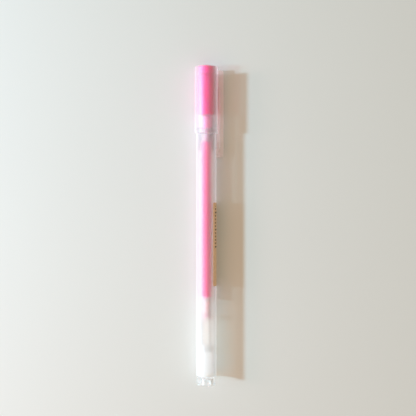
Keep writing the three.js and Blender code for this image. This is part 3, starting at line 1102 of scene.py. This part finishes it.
@dataclass
class RefillUnit(Assembly):
    """The refill: tube, ink, grease, valve, tip holder, metal tip and the two balls."""

    bore: float = 1.6
    meniscus: float = 0.35
    trace_length: float = 2.0
    trace_depth: float = 0.3
    valve_inlet: float = 0.4
    chamber_radius: float = 0.8
    chamber_start: float = 1.6
    socket_radius: float = 1.1
    socket_start: float = 3.8
    spigot_radius: float = 1.05
    channel_radius: float = 0.5
    holder_body: float = 6.0
    holder_front: float = 1.5
    tip_body: float = 6.6
    shank: float = 0.9
    shank_length: float = 3.3
    tip_channel: float = 0.3
    groove_depth: float = 0.1

    def build(self) -> None:
        """Builds and dresses the unit's pieces."""
        self.tube()
        self.ink()
        self.follower()
        self.valve()
        self.holder()
        self.tip()
        self.balls()

    def tube(self) -> None:
        """The extruded tube, with cut ends."""
        span = self.span("refill_tube")
        corners = [
            (self.bore, span.start, 0.05),
            (span.radius, span.start, 0.08),
            (span.radius, span.end, 0.08),
            (self.bore, span.end, 0.05),
        ]
        finish = FrostedPlastic(
            "milky_tube",
            self.axis,
            roughness=0.2,
            grain=0.001,
            milk=0.01,
            deep_milk=0.2,
            edge_milk=0.15,
            edge_block=0.1,
            held=0.0,
            satin=0.0,
        )
        piece = self.turn("refill_tube_wall", corners, True)
        self.add(piece, finish.material(), Slot.TUBE, "refill", "refill_tube")

    def ink(self) -> None:
        """The ink: a column that wets the tube, with a hollow rear end against the grease."""
        span = self.span("ink_column")
        radius = self.bore + 0.015
        rear = [(r, s) for r, s in reversed(dome(radius, span.start, self.meniscus))]
        corners = [*rear[:-1], (radius, span.start), (radius, span.end, 0.1), (0.0, span.end)]
        piece = self.turn("ink", corners, False)
        finish = GelInk("pink_gel", self.axis, span.start)
        self.add(piece, finish.material(), Slot.INK, "refill", "ink_column")
        front = self.axis.point(0, 0, span.end)
        travel = joint_named("follower_creep")["range_m"][1] / MM + self.meniscus
        keep = 1 - travel / (span.end - span.start)
        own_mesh(piece)

    def follower(self) -> None:
        """The grease plug, with a dished rear end and a smear of ink that crept past it."""
        span = self.span("grease_follower")
        radius = self.bore - 0.01
        rear = [(r, s) for r, s in reversed(dome(radius, span.start, 0.8))]
        front = dome(radius, span.end, 0.3)
        piece = self.turn("grease", [*rear, *front], False)
        self.add(piece, Grease("pale_grease").material(), Slot.GREASE, "follower", "grease_follower")
        wall, tail = self.bore - 0.015, span.start - self.trace_length
        trace = [
            (wall, tail),
            (wall, span.start - 0.05),
            (wall - self.trace_depth, span.start - 0.3),
            (wall - self.trace_depth / 3, tail + 0.4),
        ]
        film = GelInk("ink_film", self.axis, tail, 1.2, (0.9, 0.5, 0.6), (0.88, 0.45, 0.55))
        self.add(self.turn("ink_trace", trace, True), film.material(), Slot.INK, "follower")

    def valve(self) -> None:
        """The plug in the tube's front: a stepped bore with the check ball's seat and chamber."""
        span = self.span("valve_seat")
        outer = self.bore - 0.02
        socket, chamber = span.start + self.socket_start, span.start + self.chamber_start
        corners = [
            (self.valve_inlet, span.start, 0.1),
            (outer, span.start, 0.15),
            (outer, span.end, 0.1),
            (self.socket_radius, span.end, 0.05),
            (self.socket_radius, socket),
            (self.chamber_radius, socket),
            (self.chamber_radius, chamber),
            (self.valve_inlet, chamber - 0.4),
        ]
        finish = DyedPlastic(
            "valve_plastic",
            (0.6, 0.47, 0.53),
            (0.54, 0.42, 0.49),
            roughness=0.7,
            passing=(0.98, 0.94, 0.95),
        )
        piece = self.turn("valve_plug", corners, True, 64)
        self.add(piece, finish.material(), Slot.VALVE, "refill", "valve_seat")

    def holder(self) -> None:
        """The tinted holder: a spigot in the valve, a straight body, and a cone to the metal tip."""
        span, tube = self.span("tip_holder"), self.span("refill_tube")
        start = tube.end + 0.05
        cone = start + self.holder_body
        shank_floor = span.end - self.shank_length
        corners = [
            (self.channel_radius, span.start, 0.05),
            (self.spigot_radius, span.start, 0.1),
            (self.spigot_radius, start, 0.05),
            (tube.radius, start, 0.12),
            (tube.radius, cone, 0.8),
            (self.holder_front, span.end, 0.1),
            (self.shank + 0.05, span.end, 0.05),
            (self.shank + 0.05, shank_floor),
            (self.channel_radius, shank_floor),
        ]
        finish = DyedPlastic(
            "tinted_holder",
            (0.8, 0.32, 0.5),
            (0.72, 0.26, 0.46),
            roughness=0.6,
            passing=(0.97, 0.85, 0.9),
        )
        piece = self.turn("point_holder", corners, True)
        self.add(piece, finish.material(), Slot.TINTED, "refill", "tip_holder")

    def tip(self) -> None:
        """The metal tip: shank, a body with a turned groove, a cone and the lip crimped round the ball.

        The ball's seat is an arc from the lip round to the mouth of the ink's channel.
        """
        span, ball = self.span("point_tip"), self.span("writing_ball")
        start = span.start + self.shank_length
        shoulder = start + self.tip_body
        socket = ball.radius + 0.03
        mouth_angle = math.acos(self.tip_channel / socket)
        angles = np.linspace(mouth_angle, -mouth_angle, 10)
        seat = [(socket * math.cos(a), ball.middle + socket * math.sin(a)) for a in angles]
        groove, floor = start + 4.1, span.radius - self.groove_depth
        corners = [
            (self.tip_channel, span.start, 0.05),
            (self.shank, span.start, 0.12),
            (self.shank, start, 0.05),
            (span.radius, start, 0.1),
            (span.radius, groove, 0.05),
            (floor, groove + 0.2, 0.05),
            (floor, groove + 0.5, 0.05),
            (span.radius, groove + 0.7, 0.05),
            (span.radius, shoulder, 0.5),
            (socket + 0.16, ball.middle - 0.3, 0.2),
            (self.tip_channel + 0.06, seat[0][1], 0.02),
            *seat,
        ]
        piece = self.turn("metal_point", corners, True, 72)
        self.add(piece, TurnedMetal("nickel_silver").material(), Slot.METAL, "refill", "point_tip")

    def balls(self) -> None:
        """The writing ball and the check ball: each outline is a half circle from pole to pole."""
        polished = PolishedBall("polished_ball").material()
        for name, node in (("point_ball", "writing_ball"), ("valve_ball", "check_ball")):
            span = self.span(node)
            angles = np.linspace(-np.pi / 2, np.pi / 2, 25)
            radius, station = span.radius * np.cos(angles), span.middle + span.radius * np.sin(angles)
            piece = turned(name, self.axis, np.stack([radius, station], axis=-1), False, 48)
            self.add(piece, polished, Slot.BALL, node, node)


# ---- Nose -----------------------------------------------------------------------------------------------


@dataclass
class NoseUnit(Assembly):
    """The front section: a spigot in the barrel, a neck that the cap grips, and a cone round the tip."""

    barrel_wall: float = 0.9
    spigot_gap: float = 0.1
    neck_step: float = 0.35
    neck_length: float = 5.4
    ridge_start: float = 1.8
    ridge_height: float = 0.08
    holder_body: float = 6.0
    holder_step: float = 1.65
    shoulder_length: float = 3.1
    bore: float = 2.35
    cone_foot: float = 2.85
    cone_end: float = 1.8
    tip_bore: float = 1.3

    def build(self) -> None:
        """Builds and dresses the nose."""
        span, barrel, holder = self.span("nose_cone"), self.span("barrel"), self.span("tip_holder")
        neck_start = barrel.end + 0.1
        spigot = barrel.radius - self.barrel_wall - self.spigot_gap
        neck, neck_end = barrel.radius - self.neck_step, neck_start + self.neck_length
        foot = neck_end + self.shoulder_length
        ridge, ridge_radius = neck_start + self.ridge_start, neck + self.ridge_height
        step = holder.end + 0.15
        holder_cone = self.span("refill_tube").end + 0.05 + self.holder_body
        corners = [
            (self.bore, span.start, 0.1),
            (spigot, span.start, 0.25),
            (spigot, neck_start, 0.05),
            (neck, neck_start, 0.15),
            (neck, ridge, 0.3),
            (ridge_radius, ridge + 0.33, 0.2),
            (ridge_radius, ridge + 0.67, 0.2),
            (neck, ridge + 1.0, 0.3),
            (neck, neck_end),
            *eased((neck, neck_end), (self.cone_foot, foot)),
            (self.cone_foot, foot),
            (self.cone_end, span.end, 0.25),
            (self.tip_bore, span.end, 0.1),
            (self.tip_bore, step),
            (self.holder_step, step),
            (self.bore, holder_cone),
        ]
        piece = self.turn("nose", corners, True, 112)
        finish = FrostedPlastic(
            "semi_clear_nose",
            self.axis,
            # The faint pink tint and cloud are painted light: they stand in for the tinted holder's pink light
            # that shows through the nose.
            tint=(1.0, 0.95, 0.975),
            cloud=(0.99, 0.92, 0.955),
            roughness=0.1,
            grain=0.002,
            milk=0.05,
            deep_milk=0.4,
            edge_milk=0.2,
            edge_block=0.1,
            held=0.0,
            satin=0.0,
        )
        self.add(piece, finish.material(), Slot.NOSE, "nose", "nose_cone")


# ---- Cap ------------------------------------------------------------------------------------------------


@dataclass
class CapUnit(Assembly):
    """The cap: frosted shell and clip, pink liner and crown, and the seal for the point."""

    bore: float = 4.45
    lip_length: float = 2.2
    groove_length: float = 0.4
    groove_depth: float = 0.12
    end_radius: float = 0.9
    liner_bore_gap: float = 0.08
    liner_mouth: float = 3.05
    liner_pocket: float = 2.0
    chamfer_depth: float = 0.35
    chamfer_length: float = 0.25
    crown_dome: float = 0.6
    crown_groove_start: float = 1.9
    crown_groove_depth: float = 0.3
    clip_half_width: float = 1.8
    clip_inner: float = 6.3
    clip_outer: float = 8.3
    clip_root: float = 8.0
    clip_edge: float = 0.4
    bead_length: float = 5.0
    bead_face: float = 4.95

    def build(self) -> None:
        """Builds and dresses the unit's pieces."""
        pink = self.dyed("pink_plastic", (0.95, 0.6, 0.75))
        crown_start = self.span("cap_crown").start
        shell = FrostedPlastic(
            "frosted_cap", self.axis, milk=0.05, held_to=crown_start + 0.3, satin=0.12, satin_roughness=0.5
        )
        self.shell(shell.material())
        # The clip's pinkish tint and cloud are painted light: they stand in for the pink light that the liner
        # sends through the clip.
        clip = FrostedPlastic(
            "frosted_clip", self.axis, (1.0, 0.93, 0.92), (0.98, 0.9, 0.88), milk=0.4, satin=0.06
        )
        self.clip(clip.material())
        self.liner(pink)
        self.crown(self.dyed("pink_crown", (0.97, 0.88, 0.92)))
        self.seal()

    def dyed(self, name: str, passing: Colour) -> bpy.types.Material:
        """The pink plastic, with the share of each colour that a lamp's ray keeps."""
        finish = DyedPlastic(
            name,
            (0.93, 0.02, 0.33),
            (0.88, 0.015, 0.27),
            roughness=0.5,
            passing=passing,
        )
        return finish.material()

    def shell(self, frosted: bpy.types.Material) -> None:
        """The shell: a lip and groove at the mouth, a straight wall and a rounded end round the crown."""
        span, liner = self.span("cap_shell"), self.span("cap_liner")
        outer = self.outer_radius
        narrow = liner.radius + self.liner_bore_gap
        lip, step = span.start + self.lip_length, liner.start - 0.1
        corners = [
            (self.bore + 0.2, span.start, 0.1),
            (outer, span.start, 0.3),
            (outer, lip, 0.12),
            (outer - self.groove_depth, lip + 0.12, 0.08),
            (outer - self.groove_depth, lip + self.groove_length - 0.12, 0.08),
            (outer, lip + self.groove_length, 0.12),
            (outer, span.end, self.end_radius),
            (narrow, span.end, 0.15),
            (narrow, step, 0.2),
            (self.bore, step - 0.6, 0.2),
            (self.bore, span.start + 0.3, 0.1),
        ]
        piece = self.turn("cap_tube", corners, True, 128)
        self.add(piece, frosted, Slot.FROSTED, "cap", "cap_shell")

    @property
    def outer_radius(self) -> float:
        """The shell's outer radius, from the axis's height over the surface that the cap lies on."""
        return (self.axis.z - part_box("cap_shell")[0].z) / MM

    def clip(self, frosted: bpy.types.Material) -> None:
        """The clip, root and arm in one.

        Its section is a rounded rectangle carried along the pen. At station s the section runs from an inner
        distance, which is the shell's wall along the root, the free face along the arm and a swelling at the
        bead, to an outer one, both drawn in along an arc at the two ends. Stations are closest at the ends.
        """
        arm = self.span("clip_arm")
        top = arm.end + 0.15 + self.clip_root
        turn = np.linspace(0, np.pi, 141)
        station = arm.start + (top - arm.start) * (1 - np.cos(turn)) / 2
        tail, head = station - arm.start, top - station
        inner = np.full_like(station, self.clip_inner)
        bead = bell(tail, 0.42 * self.bead_length, 0.5 * self.bead_length)
        inner -= (self.clip_inner - self.bead_face) * bead
        rise = smooth_step(head, self.clip_root + 1.2, self.clip_root - 1.0)
        inner += (self.outer_radius - 0.12 - self.clip_inner) * rise
        outer = np.full_like(station, self.clip_outer)
        outer -= rounding(tail, 0.9) + rounding(head, 1.2)
        inner += rounding(tail, 0.5) * (inner < outer - 1)
        half = self.clip_half_width - 0.5 * rounding(tail, 0.7) - 0.5 * rounding(head, 0.7)
        quarter = np.repeat(np.arange(4), 10)
        count = len(quarter)
        angle = (quarter + np.tile(np.linspace(0, 1, 10), 4)) * np.pi / 2
        edge = self.clip_edge
        middle, depth = (inner + outer)[:, None] / 2, (outer - inner)[:, None] / 2
        out, up = np.array([1, -1, -1, 1])[quarter], np.array([1, 1, -1, -1])[quarter]
        across = middle + out * (depth - edge) + edge * np.cos(angle)
        side = up * (half[:, None] - edge) + edge * np.sin(angle)
        points = self.axis.place(across, side, station[:, None])
        faces = grid_faces(len(station), count, False, True).tolist()
        rows = len(station)
        faces += [list(range(count))[::-1], list(range((rows - 1) * count, rows * count))]
        piece = mesh_object("cap_clip", points, faces, 50)
        fix_winding(piece)
        piece.data.materials.append(frosted)
        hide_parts("clip_arm")
        self.axis.point(self.clip_inner, 0, arm.end + 0.5)
        self.axis.point(self.clip_inner, 0, arm.end - 3.5)
        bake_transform(piece)
        self.pieces.append(piece)

    def liner(self, pink: bpy.types.Material) -> None:
        """The inner cap: a tube with a tapered pocket for the nose and a floor."""
        span, nose, seal = self.span("cap_liner"), self.span("nose_cone"), self.span("tip_seal")
        floor = seal.end + 0.05
        corners = [
            (0.0, floor),
            (self.liner_pocket, floor, 0.2),
            (self.liner_pocket, nose.end),
            (self.liner_mouth, span.start, 0.15),
            (span.radius, span.start, 0.25),
            (span.radius, span.end - self.chamfer_length, 0.1),
            (span.radius - self.chamfer_depth, span.end, 0.05),
            (0.0, span.end),
        ]
        self.add(self.turn("inner_cap", corners, False), pink, Slot.PINK, "cap", "cap_liner")

    def crown(self, pink: bpy.types.Material) -> None:
        """The end plug, with a snap groove, a rounded rim and a low dome."""
        span = self.span("cap_crown")
        rim = span.end - self.crown_dome
        groove = span.start + self.crown_groove_start
        corners = [
            (0.0, span.start),
            (span.radius - self.chamfer_depth, span.start, 0.05),
            (span.radius, span.start + self.chamfer_length, 0.1),
            (span.radius, groove - 0.2, 0.05),
            (span.radius - self.crown_groove_depth, groove, 0.05),
            (span.radius, groove + 0.2, 0.05),
            (span.radius, rim, 0.35),
            *dome(span.radius, rim, self.crown_dome)[1:],
        ]
        self.add(self.turn("crown", corners, False), pink, Slot.PINK, "cap", "cap_crown")

    def seal(self) -> None:
        """The soft pad in the liner's floor, dimpled where the point presses."""
        span = self.span("tip_seal")
        dimple = [(r, s) for r, s in reversed(dome(0.8, span.start, 0.18, 6))]
        corners = [
            *dimple,
            (span.radius, span.start, 0.15),
            (span.radius, span.end, 0.15),
            (0.0, span.end),
        ]
        piece = self.turn("point_seal", corners, False, 48)
        self.add(piece, Elastomer("soft_seal").material(), Slot.RUBBER, "cap", "tip_seal")


def bell(value: np.ndarray, centre: float, half: float) -> np.ndarray:
    """A cosine bell that is 1 at the centre and 0 at half away from it and beyond."""
    return (1 + np.cos(np.pi * np.clip(np.abs(value - centre) / half, 0, 1))) / 2


def smooth_step(value: np.ndarray, low: float, high: float) -> np.ndarray:
    """0 at low, 1 at high, and a cubic ease between them. low may be above high."""
    t = np.clip((value - low) / (high - low), 0, 1)
    return t * t * (3 - 2 * t)


def rounding(distance: np.ndarray, radius: float) -> np.ndarray:
    """How far a corner's arc lies inside the sharp corner, at a distance from the end."""
    inside = np.clip(radius - distance, 0, radius)
    return radius - np.sqrt(np.clip(radius**2 - inside**2, 0, None))


def fix_winding(piece: bpy.types.Object) -> None:
    """Turns a closed mesh's faces outwards if its signed volume is negative."""
    mesh = piece.data
    mesh.calc_loop_triangles()
    corners = np.empty(len(mesh.loop_triangles) * 3, np.int32)
    mesh.loop_triangles.foreach_get("vertices", corners)
    points = np.empty(len(mesh.vertices) * 3, np.float32)
    mesh.vertices.foreach_get("co", points)
    a, b, c = np.swapaxes(points.reshape(-1, 3)[corners.reshape(-1, 3)], 0, 1)
    if np.einsum("ij,ij->", a, np.cross(b, c)) < 0:
        mesh.flip_normals()


# ---- Studio ---------------------------------------------------------------------------------------------


@dataclass(frozen=True)
class Lamp:
    """A round lamp that shines at the middle of the pen.

    Its turn is counted from +X towards +Y, its height from the table, both in degrees.
    """

    name: str
    height: float
    turn: float
    distance: float
    size: float
    power: float
    colour: Colour

    def build(self) -> None:
        """Adds the lamp to the scene."""
        lamp = bpy.data.lights.new(self.name, "AREA")
        lamp.shape = "DISK"
        lamp.size = self.size
        lamp.color = self.colour
        lamp.energy = self.power
        holder = bpy.data.objects.new(self.name, lamp)
        bpy.context.scene.collection.objects.link(holder)
        height, turn = math.radians(self.height), math.radians(self.turn)
        flat = self.distance * math.cos(height)
        holder.location = (flat * math.cos(turn), flat * math.sin(turn), self.distance * math.sin(height))
        aim(holder, (0.0, 0.0, 0.0))


LAMPS = (
    Lamp("window", 31.5, 177.0, 0.7, 0.055, 4.4, (0.42, 0.79, 1.0)),
    Lamp("curtain", 22.0, 176.0, 0.6, 0.12, 0.85, (1.0, 0.62, 0.6)),
    Lamp("room", 45.0, 215.0, 0.6, 0.4, 0.7, (1.0, 0.32, 0.08)),
)


@dataclass
class Studio:
    """The table, the light and the camera."""

    axis: PenAxis
    view_width: float = 195.0
    camera_height: float = 560.0
    sensor: float = 36.0
    aim_forward: float = 8.0
    aim_right: float = 0.8
    sky_colour: Colour = (1.0, 0.89, 0.69)
    sky_strength: float = 0.475
    clear_layers: int = 24

    def build(self) -> None:
        """Sets up the table, lights, camera and colour, and lets light through all the nested walls."""
        self.table()
        self.sky()
        for lamp in LAMPS:
            lamp.build()
        self.camera()
        bpy.context.scene.view_settings.view_transform = "Standard"
        bpy.context.scene.cycles.transparent_max_bounces = self.clear_layers

    def table(self) -> None:
        """A flat square under the pen."""
        half = 1.5
        points = np.array([(-half, -half, 0), (half, -half, 0), (half, half, 0), (-half, half, 0)], float)
        table = mesh_object("table", points, [[0, 1, 2, 3]])
        table.data.materials.append(Tabletop().material())

    def sky(self) -> None:
        """A weak light from all round."""
        world = bpy.data.worlds.new("room_light")
        world.use_nodes = True
        background = world.node_tree.nodes["Background"]
        background.inputs["Color"].default_value = (*self.sky_colour, 1.0)
        background.inputs["Strength"].default_value = self.sky_strength
        bpy.context.scene.world = world

    def camera(self) -> None:
        """A camera straight above the pen, with the pen upright in its view."""
        lens = bpy.data.cameras.new("overhead")
        lens.sensor_width = self.sensor
        reach = self.camera_height * MM - self.axis.z
        lens.lens = self.sensor * reach / (self.view_width * MM)
        lens.clip_start, lens.clip_end = 0.01, 10.0
        camera = bpy.data.objects.new("overhead", lens)
        bpy.context.scene.collection.objects.link(camera)
        camera.location = (self.axis.x + self.aim_right * MM, self.aim_forward * MM, self.camera_height * MM)
        bpy.context.scene.camera = camera


def aim(obj: bpy.types.Object, target: tuple[float, float, float]) -> None:
    """Turns a lamp so that it shines at a point."""
    obj.rotation_euler = (Vector(target) - obj.location).to_track_quat("-Z", "Y").to_euler()


# ---- Assembly -------------------------------------------------------------------------------------------


def main() -> None:
    """Builds the studio and the pen's units in order."""
    logging.basicConfig(level=logging.INFO, format="%(name)s: %(message)s")
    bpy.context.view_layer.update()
    axis = PenAxis.read()
    Studio(axis).build()
    for unit in (BarrelUnit(axis), RefillUnit(axis), NoseUnit(axis), CapUnit(axis)):
        unit.build()
        for piece in unit.pieces:
            LOG.info("%s: %s, %d faces", type(unit).__name__, piece.name, len(piece.data.polygons))


if __name__ == "__main__":
    main()
